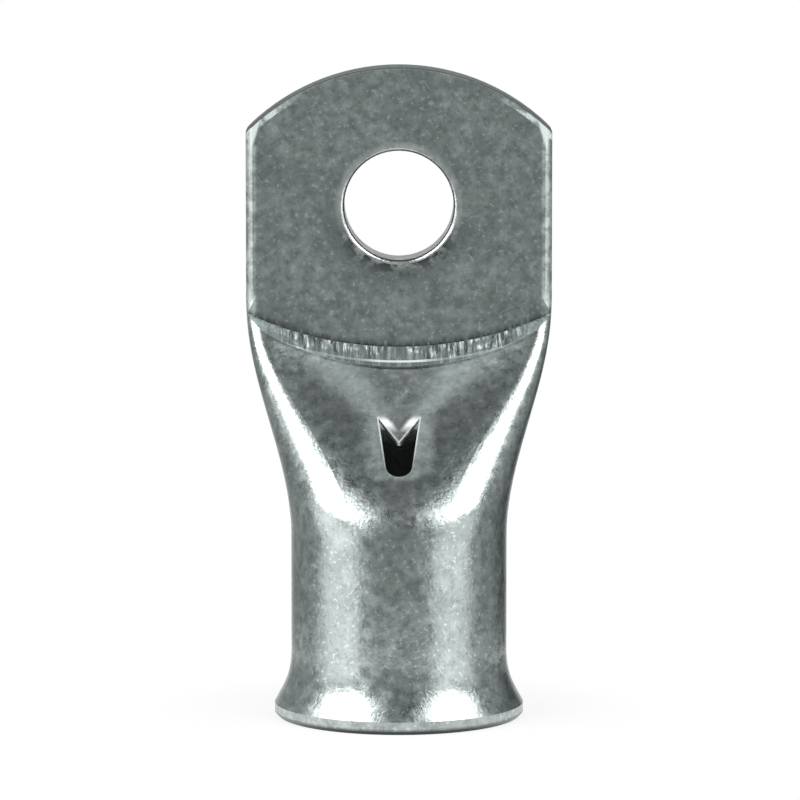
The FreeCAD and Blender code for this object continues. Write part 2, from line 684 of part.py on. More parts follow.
seam_sketch.addConstraint(Sketcher.Constraint("Vertical", 3))
seam_sketch.addConstraint(Sketcher.Constraint("Horizontal", 2))
seam_sketch.addConstraint(Sketcher.Constraint("PointOnObject", 0, 3, -2))
bind(seam_sketch, "dims.tip_radius - dims.seam_depth", "Radius", 0, seam_radius)
bind(seam_sketch, "dims.overall_length - dims.tip_radius", "DistanceY", -1, 1, 0, 3, tip_middle)
bind(seam_sketch, HALF_INSIDE, "DistanceX", -1, 1, 3, 2, seam_half)
bind(seam_sketch, HALF_INSIDE, "DistanceX", 1, 1, -1, 1, seam_half)
bind(seam_sketch, "dims.overall_length + %.2f" % CLEAR, "DistanceY", -1, 1, 2, 2, outer_z)
seam = body.newObject("PartDesign::Pocket", "tip_seam")
seam.Profile = seam_sketch
seam.SideType = "Symmetric"
seam.setExpression("Length", "dims.seam_gap")
doc.recompute()
body.Tip = seam
doc.recompute()

# Test every object before anything is written
for item in doc.Objects:
    if "Invalid" in item.State or "Error" in item.State:
        raise RuntimeError("%s failed: %s" % (item.Name, item.State))
shape = body.Shape
if shape.isNull() or not shape.isValid() or len(shape.Solids) != 1:
    raise RuntimeError("the lug is not one valid solid")
print("volume mm3", round(shape.Volume, 2), "faces", len(shape.Faces))

os.makedirs("parts", exist_ok=True)
shape.exportStep("parts/%s.step" % body.Label)
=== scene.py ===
# %% [markdown]
# # A compression lug in tin-plated copper
#
# The object is one length of copper tube. One end is belled to guide a cable's strands in, the other
# is pressed flat into a palm with a stud hole, and the whole is plated with tin. Its solid is loaded
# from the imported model, and what is left for Blender is the skin: the dull mottled tin, the tool marks
# where the press stopped, and the scratches that loose lugs get in a box.

import math

import bpy
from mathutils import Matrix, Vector


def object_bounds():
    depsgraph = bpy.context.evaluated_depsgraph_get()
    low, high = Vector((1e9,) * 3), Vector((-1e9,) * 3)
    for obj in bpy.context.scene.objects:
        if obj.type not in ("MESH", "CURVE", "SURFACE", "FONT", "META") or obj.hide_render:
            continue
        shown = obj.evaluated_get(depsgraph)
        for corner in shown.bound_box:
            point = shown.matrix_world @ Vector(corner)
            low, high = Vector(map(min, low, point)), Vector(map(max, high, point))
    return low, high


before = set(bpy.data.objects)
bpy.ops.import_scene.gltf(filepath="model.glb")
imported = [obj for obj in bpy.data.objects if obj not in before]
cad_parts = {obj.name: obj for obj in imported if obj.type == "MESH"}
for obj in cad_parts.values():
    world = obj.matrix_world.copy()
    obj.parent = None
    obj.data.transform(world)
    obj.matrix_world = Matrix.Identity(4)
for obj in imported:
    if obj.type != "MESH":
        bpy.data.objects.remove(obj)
cad_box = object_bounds()
print("nodes", sorted(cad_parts))
print("packed box", [tuple(round(v * 1000, 2) for v in corner) for corner in cad_box])

# %% [markdown]
# Two helpers serve every material below. Colours are picked as sRGB hex values, the numbers that an
# image editor shows, but Blender's sockets want linear light, so one function converts them. The other
# adds a node with its settings, its values and its incoming links in one call, which keeps a node tree
# readable as a list from top to bottom. Most nodes give one thing, so a link may name the node alone,
# and an output is named only where a node has several.

# %% Helpers for colours and nodes
MM = 0.001


def linear(hex_value):
    """Turn an sRGB hex value such as "8A8C8B" into a linear colour with full alpha."""
    channels = [int(hex_value[i : i + 2], 16) / 255 for i in (0, 2, 4)]
    light = [c / 12.92 if c <= 0.04045 else ((c + 0.055) / 1.055) ** 2.4 for c in channels]
    return (*light, 1.0)


def add_node(tree, kind, values=None, links=None, **settings):
    """Add a shader node, set its properties and input values, and link other nodes' outputs into it."""
    node = tree.nodes.new("ShaderNode" + kind)
    for name, value in settings.items():
        setattr(node, name, value)
    for name, value in (values or {}).items():
        node.inputs[name].default_value = value
    for name, source in (links or {}).items():
        if isinstance(source, bpy.types.Node):
            source = next(output for output in source.outputs if output.enabled)
        tree.links.new(source, node.inputs[name])
    return node


print("mid grey", [round(c, 3) for c in linear("808080")])

# %% [markdown]
# The camera of a product shot stands well back with a long lens, so that upright edges stay parallel.
# Seven degrees above the horizontal shows the palm's cut end as a thin band and none of the mouth.
# The lens follows from the width of the picture at the lug's distance. Lengths are in millimetres and
# angles in degrees, here and in every cell below.

# %% Camera
VIEW_HEIGHT = 7.0
VIEW_DISTANCE = 430.0
FRAME_WIDTH = 60.9
FRAME_MIDDLE = (0.08, 0.0, 24.2)
SENSOR_WIDTH = 36.0
NEAREST_SEEN = 10.0
FARTHEST_SEEN = 20000.0

camera_data = bpy.data.cameras.new("camera")
camera_data.sensor_width = SENSOR_WIDTH
camera_data.lens = SENSOR_WIDTH * VIEW_DISTANCE / FRAME_WIDTH
camera_data.clip_start = NEAREST_SEEN * MM
camera_data.clip_end = FARTHEST_SEEN * MM
camera = bpy.data.objects.new("camera", camera_data)
bpy.context.scene.collection.objects.link(camera)
tilt = math.radians(VIEW_HEIGHT)
camera.location = (
    FRAME_MIDDLE[0] * MM,
    (FRAME_MIDDLE[1] - VIEW_DISTANCE * math.cos(tilt)) * MM,
    (FRAME_MIDDLE[2] + VIEW_DISTANCE * math.sin(tilt)) * MM,
)
camera.rotation_euler = (math.radians(90.0) - tilt, 0.0, 0.0)
bpy.context.scene.camera = camera
print("lens", round(camera_data.lens, 1), "mm")

# %% [markdown]
# Metal is only as good as what it mirrors. Each side of the lug meets the camera's view at its own
# angle, so each mirrors its own part of the room. Two wide boxes level with the lug give the barrel its
# bright bands. Two brighter ones higher up give the ridges beside the slope and the flare of the bell.
# A dim box overhead lifts the slope a little, and one above and behind lights the ledge. The grey room
# does the rest: the flat palm looks straight into it. Area lamps make soft boxes that metal can see, and
# they are hidden from the camera alone.

# %% Soft boxes
LAMP_DISTANCE = 520.0
LAMP_TARGET = Vector((0.0, 0.0, 22.0)) * MM


def soft_box(name, side, height, width, length, radiance):
    """Add a rectangular lamp that faces the lug, so many degrees to the right of the front and up."""
    lamp_data = bpy.data.lights.new(name, "AREA")
    lamp_data.shape = "RECTANGLE"
    lamp_data.size = width * MM
    lamp_data.size_y = length * MM
    lamp_data.energy = radiance * math.pi * lamp_data.size * lamp_data.size_y
    lamp = bpy.data.objects.new(name, lamp_data)
    bpy.context.scene.collection.objects.link(lamp)
    across = math.radians(side)
    up = math.radians(height)
    way = Vector((math.sin(across) * math.cos(up), -math.cos(across) * math.cos(up), math.sin(up)))
    lamp.location = LAMP_TARGET + way * LAMP_DISTANCE * MM
    lamp.rotation_euler = way.to_track_quat("Z", "Y").to_euler()
    lamp.visible_camera = False
    print(name, "at", tuple(round(v, 3) for v in lamp.location), "power", round(lamp_data.energy, 3))


soft_box("low_box_left", side=-66.0, height=-4.0, width=430.0, length=240.0, radiance=1.35)
soft_box("low_box_right", side=58.0, height=-4.0, width=410.0, length=240.0, radiance=1.1)
soft_box("high_box_left", side=-64.0, height=41.0, width=430.0, length=360.0, radiance=4.5)
soft_box("high_box_right", side=61.0, height=41.0, width=380.0, length=360.0, radiance=4.3)
soft_box("top_box", side=0.0, height=78.0, width=120.0, length=260.0, radiance=0.28)
soft_box("back_box", side=180.0, height=50.0, width=420.0, length=160.0, radiance=0.6)

# %% [markdown]
# The background is white and the room is grey, which one plain world can't be. Light Path tells a
# world which ray asks. Rays from the camera get white everywhere. Rays that bounce off metal get white
# where the white backdrop stands, behind the lug, and the dim room in front of it. All other rays get
# the room, so the backdrop adds no light. The room darkens towards the ceiling, which the slope
# mirrors, and behind on the right, which lets the barrel's right edge end dark. A direction's own three
# numbers, or its product with another direction, say how near it lies to each of these.

# %% World
world = bpy.data.worlds.new("studio")
bpy.context.scene.world = world
world.use_nodes = True
tree = world.node_tree
tree.nodes.clear()
ROOM_GREY = linear("959998")
CEILING_GREY = linear("464A4A")
WHITE = (1.0, 1.0, 1.0, 1.0)
BACKDROP = {"From Min": 0.90, "From Max": 0.97}
CEILING = {"From Min": 0.35, "From Max": 0.75}
DARK_CORNER = {"From Min": 0.82, "From Max": 0.98}
RIGHT_REAR = (0.5, 0.866, 0.0)
rays = add_node(tree, "LightPath")
place = add_node(tree, "TexCoord")
axes = add_node(tree, "SeparateXYZ", links={"Vector": place.outputs["Generated"]})
behind = add_node(tree, "MapRange", values=BACKDROP, links={"Value": axes.outputs["Y"]})
mirrored = add_node(
    tree,
    "Math",
    links={0: rays.outputs["Is Glossy Ray"], 1: rays.outputs["Is Transmission Ray"]},
    operation="MAXIMUM",
)
backdrop_mirrored = add_node(tree, "Math", links={0: mirrored, 1: behind}, operation="MULTIPLY")
white_share = add_node(
    tree,
    "Math",
    links={0: rays.outputs["Is Camera Ray"], 1: backdrop_mirrored},
    operation="MAXIMUM",
)
overhead = add_node(tree, "MapRange", values=CEILING, links={"Value": axes.outputs["Z"]})
room_colour = add_node(
    tree,
    "Mix",
    values={"A": ROOM_GREY, "B": CEILING_GREY},
    links={"Factor": overhead},
    data_type="RGBA",
)
right_rear = add_node(
    tree,
    "VectorMath",
    values={1: RIGHT_REAR},
    links={0: place.outputs["Generated"]},
    operation="DOT_PRODUCT",
)
dark_corner = add_node(tree, "MapRange", values=DARK_CORNER, links={"Value": right_rear})
side_colour = add_node(
    tree,
    "Mix",
    values={"B": CEILING_GREY},
    links={"Factor": dark_corner, "A": room_colour},
    data_type="RGBA",
)
room = add_node(tree, "Background", values={"Strength": 1.0}, links={"Color": side_colour})
backdrop = add_node(tree, "Background", values={"Color": WHITE, "Strength": 1.0})
mixed = add_node(tree, "MixShader", links={0: white_share, 1: room, 2: backdrop})
add_node(tree, "OutputWorld", links={"Surface": mixed})
bpy.context.scene.view_settings.view_transform = "Standard"
print("room grey", [round(c, 3) for c in ROOM_GREY[:3]])

# %% [markdown]
# The lug stands on a small white board, a disc, because a disc has no corner to show. What the camera
# sees of it is mostly its own white, so that it runs into the white behind it, and for the rest plain
# white paint, which takes the lug's soft shadow. Towards the rim the paint's share fades out.

# %% Floor
BOARD_RADIUS = 31.0
SHADOW_START = 9.5
SHADOW_END = 20.0
SHADOW_SHARE = 0.17
bpy.ops.mesh.primitive_circle_add(
    vertices=96,
    radius=BOARD_RADIUS * MM,
    fill_type="NGON",
    location=(0.0, 0.0, 0.0),
)
board = bpy.context.active_object
board.name = "board"
paint = bpy.data.materials.new("matt white paint")
paint.use_nodes = True
tree = paint.node_tree
tree.nodes.clear()
place = add_node(tree, "TexCoord")
radius = add_node(tree, "VectorMath", links={0: place.outputs["Object"]}, operation="LENGTH")
own_white = add_node(
    tree,
    "MapRange",
    values={
        "From Min": SHADOW_START * MM,
        "From Max": SHADOW_END * MM,
        "To Min": 1.0 - SHADOW_SHARE,
        "To Max": 1.0,
    },
    links={"Value": radius},
)
rays = add_node(tree, "LightPath")
mirrored = add_node(
    tree,
    "Math",
    links={0: rays.outputs["Is Glossy Ray"], 1: rays.outputs["Is Transmission Ray"]},
    operation="MAXIMUM",
)
seen = add_node(tree, "Math", links={0: rays.outputs["Is Camera Ray"], 1: mirrored}, operation="MAXIMUM")
share = add_node(tree, "Math", links={0: seen, 1: own_white}, operation="MULTIPLY")
matt = add_node(tree, "BsdfDiffuse", values={"Color": linear("FAFAFA")})
light = add_node(tree, "Emission", values={"Color": WHITE, "Strength": 1.0})
mixed = add_node(tree, "MixShader", links={0: share, 1: matt, 2: light})
add_node(tree, "OutputMaterial", links={"Surface": mixed})
board.data.materials.append(paint)
print("board", round(BOARD_RADIUS * 2), "mm across")

# %% [markdown]
# The finish is tin, plated on copper from an acid bath and left matt. Tin is a pale grey metal, here
# with a faint green cast, and much duller than chrome. Up close it is mottled, because patches of larger
# and smaller crystals scatter light a little differently. The real ones are a few tenths of a
# millimetre wide and wouldn't show, so they are drawn nearly a millimetre wide. Clouds of a few
# millimetres lie over them, where handling has dulled the tin.

# %% Tin plating, its mottled skin
PATCHES_PER_MM = 1.2
CLOUDS_PER_MM = 0.28
CLOUD_SHARE = {"From Min": 0.45, "From Max": 0.62, "To Min": 0.0, "To Max": 0.45}
DULLNESS = {"From Min": 0.3, "From Max": 0.7, "To Min": 0.24, "To Max": 0.36}
tin = bpy.data.materials.new("matt tin plating on copper")
tin.use_nodes = True
tree = tin.node_tree
tree.nodes.clear()
place = add_node(tree, "TexCoord")
in_mm = add_node(
    tree,
    "Mapping",
    values={"Scale": (1.0 / MM, 1.0 / MM, 1.0 / MM)},
    links={"Vector": place.outputs["Object"]},
)
axes = add_node(tree, "SeparateXYZ", links={"Vector": in_mm})
patches = add_node(
    tree,
    "TexNoise",
    values={"Scale": PATCHES_PER_MM, "Detail": 4.0, "Roughness": 0.55},
    links={"Vector": in_mm},
)
tin_colour = add_node(tree, "ValToRGB", links={"Fac": patches})
tin_colour.color_ramp.elements[0].position = 0.34
tin_colour.color_ramp.elements[0].color = linear("A8B0AF")
tin_colour.color_ramp.elements[1].position = 0.68
tin_colour.color_ramp.elements[1].color = linear("CED6D5")
clouds = add_node(
    tree,
    "TexNoise",
    values={"Scale": CLOUDS_PER_MM, "Detail": 2.0, "Roughness": 0.5},
    links={"Vector": in_mm},
)
cloud_share = add_node(tree, "MapRange", values=CLOUD_SHARE, links={"Value": clouds})
cloudy_colour = add_node(
    tree,
    "Mix",
    values={"B": linear("9AA3A2")},
    links={"Factor": cloud_share, "A": tin_colour},
    data_type="RGBA",
)
dullness = add_node(tree, "MapRange", values=DULLNESS, links={"Value": patches})
print("patches", round(1 / PATCHES_PER_MM, 2), "mm wide, clouds", round(1 / CLOUDS_PER_MM, 1), "mm")

# %% [markdown]
# Loose lugs rub against each other in their box. What that leaves are specks of a tenth or two of a
# millimetre, some bright where the tin is burnished and some dark where it is bruised, and hairline
# scratches. A scratch is a noise pattern drawn out about twelve times along one direction, and two
# such patterns at different slants keep it from looking combed.

# %% Specks and scratches
SPECKS_PER_MM = 3.0
BRIGHT_SPECKS = {"From Min": 0.60, "From Max": 0.69, "To Min": 0.0, "To Max": 0.75}
DARK_SPECKS = {"From Min": 0.42, "From Max": 0.33, "To Min": 0.0, "To Max": 0.3}
SCRATCHES_PER_MM = 7.0
SCRATCH_STRETCH = (0.6, 1.0, SCRATCHES_PER_MM)
SCRATCHES = {"From Min": 0.72, "From Max": 0.78, "To Min": 0.0, "To Max": 0.5}
SCRATCH_SLANTS = (24.0, -57.0)
SCRATCH_SHIFT = 40.0
specks = add_node(
    tree,
    "TexNoise",
    values={"Scale": SPECKS_PER_MM, "Detail": 2.0, "Roughness": 0.6},
    links={"Vector": in_mm},
)
bright_specks = add_node(tree, "MapRange", values=BRIGHT_SPECKS, links={"Value": specks})
dark_specks = add_node(tree, "MapRange", values=DARK_SPECKS, links={"Value": specks})
bright_marks = bright_specks
for turn, slant in enumerate(SCRATCH_SLANTS):
    slanted = add_node(
        tree,
        "Mapping",
        values={
            "Rotation": (0.0, math.radians(slant), 0.0),
            "Location": (turn * SCRATCH_SHIFT, 0.0, 0.0),
        },
        links={"Vector": in_mm},
    )
    drawn_out = add_node(
        tree,
        "VectorMath",
        values={1: SCRATCH_STRETCH},
        links={0: slanted},
        operation="MULTIPLY",
    )
    streaks = add_node(
        tree,
        "TexNoise",
        values={"Scale": 1.0, "Detail": 1.0, "Roughness": 0.4},
        links={"Vector": drawn_out},
    )
    scratches = add_node(tree, "MapRange", values=SCRATCHES, links={"Value": streaks})
    bright_marks = add_node(tree, "Math", links={0: bright_marks, 1: scratches}, operation="MAXIMUM")
worn_colour = add_node(
    tree,
    "Mix",
    values={"B": linear("E6F2F1")},
    links={"Factor": bright_marks, "A": cloudy_colour},
    data_type="RGBA",
)
bruised_colour = add_node(
    tree,
    "Mix",
    values={"B": linear("626A6A")},
    links={"Factor": dark_specks, "A": worn_colour},
    data_type="RGBA",
)
print("specks", round(0.5 / SPECKS_PER_MM, 2), "mm, scratches", round(1 / SCRATCHES_PER_MM, 2), "mm wide")

# %% [markdown]
# The press stopped at the shoulder, and the ledge that it left between palm and slope is a cone in the
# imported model. Its foot on the palm is the crease, an arc, and its top edge is the brow. Two numbers tell
# where a point of the skin lies. One is how far it lies below the crease, seen from the front. The other
# is how far it stands off the cone, which is nought on the ledge, more on the slope below the brow and
# less on the palm.

# %% Where the ledge is
CREASE_LEVEL = 27.87
CREASE_RADIUS = 28.0
PALM_FACE = 4.27
LEDGE_LEAN = 26.0
LEDGE_DEPTH = 1.0 / math.tan(math.radians(LEDGE_LEAN))
LEDGE_GAP = {"From Min": 0.04, "From Max": 0.14, "To Min": 1.0, "To Max": 0.0}
PAST_CREASE = {"From Min": 0.02, "From Max": 0.08}
LEDGE_ENDS = {"From Min": 8.0, "From Max": 11.0, "To Min": 1.0, "To Max": 0.0}
front_view = add_node(
    tree,
    "VectorMath",
    values={1: (1.0, 0.0, 1.0)},
    links={0: in_mm},
    operation="MULTIPLY",
)
to_middle = add_node(
    tree,
    "VectorMath",
    values={1: (0.0, 0.0, CREASE_LEVEL + CREASE_RADIUS)},
    links={0: front_view},
    operation="DISTANCE",
)
below_crease = add_node(
    tree,
    "Math",
    values={1: CREASE_RADIUS},
    links={0: to_middle},
    operation="SUBTRACT",
)
cone_side = add_node(
    tree,
    "Math",
    values={1: LEDGE_DEPTH, 2: -PALM_FACE},
    links={0: below_crease},
    operation="MULTIPLY_ADD",
)
off_ledge = add_node(tree, "Math", links={0: cone_side, 1: axes.outputs["Y"]}, operation="ADD")
gap_to_ledge = add_node(tree, "Math", links={0: off_ledge}, operation="ABSOLUTE")
near_ledge = add_node(tree, "MapRange", values=LEDGE_GAP, links={"Value": gap_to_ledge})
past_crease = add_node(tree, "MapRange", values=PAST_CREASE, links={"Value": below_crease})
off_middle = add_node(tree, "Math", links={0: axes.outputs["X"]}, operation="ABSOLUTE")
ledge_fade = add_node(tree, "MapRange", values=LEDGE_ENDS, links={"Value": off_middle})
ledge_face = add_node(tree, "Math", links={0: near_ledge, 1: past_crease}, operation="MULTIPLY")
on_ledge = add_node(tree, "Math", links={0: ledge_face, 1: ledge_fade}, operation="MULTIPLY")
print("ledge is", round(LEDGE_DEPTH, 2), "mm deep for each mm down")

# %% [markdown]
# The die dragged the tin down the ledge and left fine upright marks on it, which are a noise drawn out
# upright, dark to nearly white. They keep to the ledge's upper half, next to the crease, and reach
# lower here and there. Below them, and in the middle, the ledge is calm and grey.

# %% Drag marks on the ledge
MARKS_PER_MM = 3.2
MARKS_UPRIGHT = 0.3
CLUMPS_PER_MM = 0.75
RAGGED_GAIN = -5.2
RAGGED_START = 2.72
CALM_MIDDLE = {"From Min": 1.4, "From Max": 2.8, "To Min": 0.5, "To Max": 0.0}
CALM_BELOW = {"From Min": 0.45, "From Max": 0.95, "To Min": 0.0, "To Max": 0.75}
upright = add_node(
    tree,
    "VectorMath",
    values={1: (MARKS_PER_MM, MARKS_UPRIGHT, MARKS_UPRIGHT)},
    links={0: in_mm},
    operation="MULTIPLY",
)
drag_marks = add_node(
    tree,
    "TexNoise",
    values={"Scale": 1.0, "Detail": 4.0, "Roughness": 0.75},
    links={"Vector": upright},
)
drag_colour = add_node(tree, "ValToRGB", links={"Fac": drag_marks})
drag_colour.color_ramp.elements[0].position = 0.44
drag_colour.color_ramp.elements[0].color = linear("5C6463")
drag_colour.color_ramp.elements[1].position = 0.64
drag_colour.color_ramp.elements[1].color = linear("F4FCFB")
clumps = add_node(
    tree,
    "TexNoise",
    values={"Scale": CLUMPS_PER_MM, "Detail": 2.0, "Roughness": 0.6},
    links={"Vector": in_mm},
)
ragged_level = add_node(
    tree,
    "Math",
    values={1: RAGGED_GAIN, 2: RAGGED_START},
    links={0: clumps},
    operation="MULTIPLY_ADD",
)
ragged_place = add_node(tree, "Math", links={0: ragged_level, 1: below_crease}, operation="ADD")
calm_middle = add_node(tree, "MapRange", values=CALM_MIDDLE, links={"Value": off_middle})
calm_place = add_node(tree, "Math", links={0: ragged_place, 1: calm_middle}, operation="ADD")
calm_ledge = add_node(tree, "MapRange", values=CALM_BELOW, links={"Value": calm_place})
ledge_tone = add_node(
    tree,
    "Mix",
    values={"B": linear("848E8D")},
    links={"Factor": calm_ledge, "A": drag_colour},
    data_type="RGBA",
)
print("marks", round(0.5 / MARKS_PER_MM, 2), "mm wide")

# %% [markdown]
# The brow is a rounded edge, so a thin painted highlight runs along it, brightest in the middle, with a
# painted shade line close under it. Along the crease the palm is darkened in patches with painted shade for
# half a millimetre.

# %% Brow and crease
BROW_DROP = 0.98
BROW_HALF_WIDTH = 0.07
BROW_HIGHLIGHT_FADE = {"From Min": 1.6, "From Max": 3.2, "To Min": 0.85, "To Max": 0.25}
BROW_SHADE_OFF_LEDGE = 0.15
BROW_SHADE_HALF_WIDTH = 0.12
BROW_SHADE_FADE = {"From Min": 3.0, "From Max": 6.0, "To Min": 0.75, "To Max": 0.25}
BROW_SHADE_FROM = 0.5
CREASE_SHADE_ABOVE = 0.55
CREASE_SHADE_BELOW = 0.03
PALM_SKIN = PALM_FACE + 0.13
CREASE_SHADE_PATCHES = {"From Min": 0.36, "From Max": 0.52, "To Min": 0.15, "To Max": 0.8}
# A thin painted highlight along the brow, brightest in the middle.
brow_highlight_line = add_node(
    tree,
    "Math",
    values={1: BROW_DROP, 2: BROW_HALF_WIDTH},
    links={0: below_crease},
    operation="COMPARE",
)
brow_highlight_fade = add_node(tree, "MapRange", values=BROW_HIGHLIGHT_FADE, links={"Value": off_middle})
brow_highlight_share = add_node(tree, "Math", links={0: brow_highlight_line, 1: brow_highlight_fade}, operation="MULTIPLY")
highlighted_ledge = add_node(
    tree,
    "Mix",
    values={"B": linear("FFFFFF")},
    links={"Factor": brow_highlight_share, "A": ledge_tone},
    data_type="RGBA",
)
ledge_colour = add_node(
    tree,
    "Mix",
    links={"Factor": on_ledge, "A": bruised_colour, "B": highlighted_ledge},
    data_type="RGBA",
)
# A dark line of painted shade close under the brow, fading towards the sides.
under_brow_line = add_node(
    tree,
    "Math",
    values={1: BROW_SHADE_OFF_LEDGE, 2: BROW_SHADE_HALF_WIDTH},
    links={0: off_ledge},
    operation="COMPARE",
)
low_enough = add_node(
    tree,
    "Math",
    values={1: BROW_SHADE_FROM},
    links={0: below_crease},
    operation="GREATER_THAN",
)
brow_shade_fade = add_node(tree, "MapRange", values=BROW_SHADE_FADE, links={"Value": off_middle})
brow_shade_line = add_node(tree, "Math", links={0: under_brow_line, 1: low_enough}, operation="MULTIPLY")
brow_shade_share = add_node(tree, "Math", links={0: brow_shade_line, 1: brow_shade_fade}, operation="MULTIPLY")
brow_shaded_colour = add_node(
    tree,
    "Mix",
    values={"B": linear("333938")},
    links={"Factor": brow_shade_share, "A": ledge_colour},
    data_type="RGBA",
)
# Painted shade in the palm's corner along the crease, broken up by the drag marks' noise.
above_crease = add_node(
    tree,
    "MapRange",
    values={"From Min": -CREASE_SHADE_ABOVE, "From Max": 0.0},
    links={"Value": below_crease},
)
palm_skin = add_node(
    tree,
    "Math",
    values={1: PALM_SKIN},
    links={0: axes.outputs["Y"]},
    operation="LESS_THAN",
)
before_crease = add_node(
    tree,
    "Math",
    values={1: CREASE_SHADE_BELOW},
    links={0: below_crease},
    operation="LESS_THAN",
)
crease_strip = add_node(tree, "Math", links={0: above_crease, 1: before_crease}, operation="MULTIPLY")
crease_shade_patches = add_node(tree, "MapRange", values=CREASE_SHADE_PATCHES, links={"Value": drag_marks})
shaded_crease_strip = add_node(tree, "Math", links={0: crease_strip, 1: crease_shade_patches}, operation="MULTIPLY")
crease_shade_share = add_node(tree, "Math", links={0: shaded_crease_strip, 1: palm_skin}, operation="MULTIPLY")
crease_shaded_colour = add_node(
    tree,
    "Mix",
    values={"B": linear("464D4C")},
    links={"Factor": crease_shade_share, "A": brow_shaded_colour},
    data_type="RGBA",
)
print("brow", BROW_DROP, "mm under the crease")

# %% [markdown]
# The slope rises straight from the barrel to the brow, so a point of its skin is found by how deep it
# lies behind that straight front. Along the slope it gets two more numbers: how far it lies off the
# middle, and how far up the slope from the bottom of the sight hole.

# %% Where the slope is
SLOPE_FOOT = -9.78
SLOPE_RISE = 0.9077
TUBE_WIDENS = 14.0
SIGHT_LEVEL = 19.0
SLOPE_STRETCH = 1.3505
SKIN_GAP = {"From Min": 0.4, "From Max": 1.8, "To Min": 1.0, "To Max": 0.0}
UNDER_BROW = {"From Min": 0.03, "From Max": 0.35}
ABOVE_FOOT = {"From Min": 15.6, "From Max": 18.4}
slope_front = add_node(
    tree,
    "Math",
    values={1: SLOPE_RISE, 2: SLOPE_FOOT - SLOPE_RISE * TUBE_WIDENS},
    links={0: axes.outputs["Z"]},
    operation="MULTIPLY_ADD",
)
depth = add_node(tree, "Math", links={0: axes.outputs["Y"], 1: slope_front}, operation="SUBTRACT")
skin_gap = add_node(tree, "Math", links={0: depth}, operation="ABSOLUTE")
on_skin = add_node(tree, "MapRange", values=SKIN_GAP, links={"Value": skin_gap})
under_brow = add_node(tree, "MapRange", values=UNDER_BROW, links={"Value": off_ledge})
above_foot = add_node(tree, "MapRange", values=ABOVE_FOOT, links={"Value": axes.outputs["Z"]})
slope_part = add_node(tree, "Math", links={0: on_skin, 1: under_brow}, operation="MULTIPLY")
on_slope = add_node(tree, "Math", links={0: slope_part, 1: above_foot}, operation="MULTIPLY")
up_slope = add_node(
    tree,
    "Math",
    values={1: SLOPE_STRETCH, 2: -SLOPE_STRETCH * SIGHT_LEVEL},
    links={0: axes.outputs["Z"]},
    operation="MULTIPLY_ADD",
)
print("one mm of height is", SLOPE_STRETCH, "mm along the slope")

# %% [markdown]
# The slope is slightly hollow between its two ridges, and its light and shade are painted into its colour.
# Painted light gathers in a V that runs from the sight hole up to the shoulder, and lies as a pale ring
# round the hole, while painted shade darkens the hollow's flanks under the ridges. Beside the hole the V's
# arms are upright, above it they part and widen, and under it they close into a ring, squeezed to half its
# height. The hole's foot is round, with its middle one radius above its lowest point.

# %% Light and shade on the slope
HOLE_RADIUS = 1.0
RING_SQUEEZE = 2.0
FAN_FROM = 5.8
# Each pair is what one millimetre up the slope adds, and where the number starts.
FAN_MIDDLE = {1: 0.68, 2: 1.75}
FAN_WIDTH = {1: 0.36, 2: 0.8}
RIDGE_FOOT = {1: 0.44, 2: 5.35}
FAN_LIGHT = {"From Min": 0.1, "From Max": 1.4, "To Min": 0.95, "To Max": 0.0}
FAN_SHADE = {"From Min": 0.7, "From Max": 2.0, "To Min": 0.0, "To Max": 0.6}
RING_FADE = {"From Min": 1.0, "From Max": 6.0, "To Min": 0.32, "To Max": 1.0}
FAN_PATCHES = {"From Min": 0.38, "From Max": 0.62, "To Min": 0.7, "To Max": 1.0}
RIDGE_FADE = {"From Min": -1.5, "From Max": -0.2, "To Min": 1.0, "To Max": 0.0}
from_bowl = add_node(tree, "Math", values={1: HOLE_RADIUS}, links={0: up_slope}, operation="SUBTRACT")
below_bowl = add_node(tree, "Math", values={1: 0.0}, links={0: from_bowl}, operation="MINIMUM")
squeezed = add_node(tree, "Math", values={1: RING_SQUEEZE}, links={0: below_bowl}, operation="MULTIPLY")
fan_vector = add_node(tree, "CombineXYZ", links={"X": off_middle, "Y": squeezed})
off_fan_foot = add_node(tree, "VectorMath", links={0: fan_vector}, operation="LENGTH")
above_horns = add_node(tree, "Math", values={1: FAN_FROM}, links={0: up_slope}, operation="SUBTRACT")
fan_height = add_node(tree, "Math", values={1: 0.0}, links={0: above_horns}, operation="MAXIMUM")
fan_middle = add_node(tree, "Math", values=FAN_MIDDLE, links={0: fan_height}, operation="MULTIPLY_ADD")
fan_width = add_node(tree, "Math", values=FAN_WIDTH, links={0: fan_height}, operation="MULTIPLY_ADD")
off_fan = add_node(tree, "Math", links={0: off_fan_foot, 1: fan_middle}, operation="SUBTRACT")
fan_place = add_node(tree, "Math", links={0: off_fan, 1: fan_width}, operation="DIVIDE")
fan_gap = add_node(tree, "Math", links={0: fan_place}, operation="ABSOLUTE")
fan_light = add_node(
    tree,
    "MapRange",
    values=FAN_LIGHT,
    links={"Value": fan_gap},
    interpolation_type="SMOOTHSTEP",
)
fan_shade = add_node(
    tree,
    "MapRange",
    values=FAN_SHADE,
    links={"Value": fan_place},
    interpolation_type="SMOOTHSTEP",
)
ring_fade = add_node(tree, "MapRange", values=RING_FADE, links={"Value": up_slope})
fan_share = add_node(tree, "Math", links={0: fan_light, 1: ring_fade}, operation="MULTIPLY")
fan_patches = add_node(tree, "MapRange", values=FAN_PATCHES, links={"Value": specks})
patchy_fan = add_node(tree, "Math", links={0: fan_share, 1: fan_patches}, operation="MULTIPLY")
slope_light = add_node(tree, "Math", links={0: patchy_fan, 1: on_slope}, operation="MULTIPLY")
ridge_foot = add_node(tree, "Math", values=RIDGE_FOOT, links={0: up_slope}, operation="MULTIPLY_ADD")
from_ridge = add_node(tree, "Math", links={0: off_middle, 1: ridge_foot}, operation="SUBTRACT")
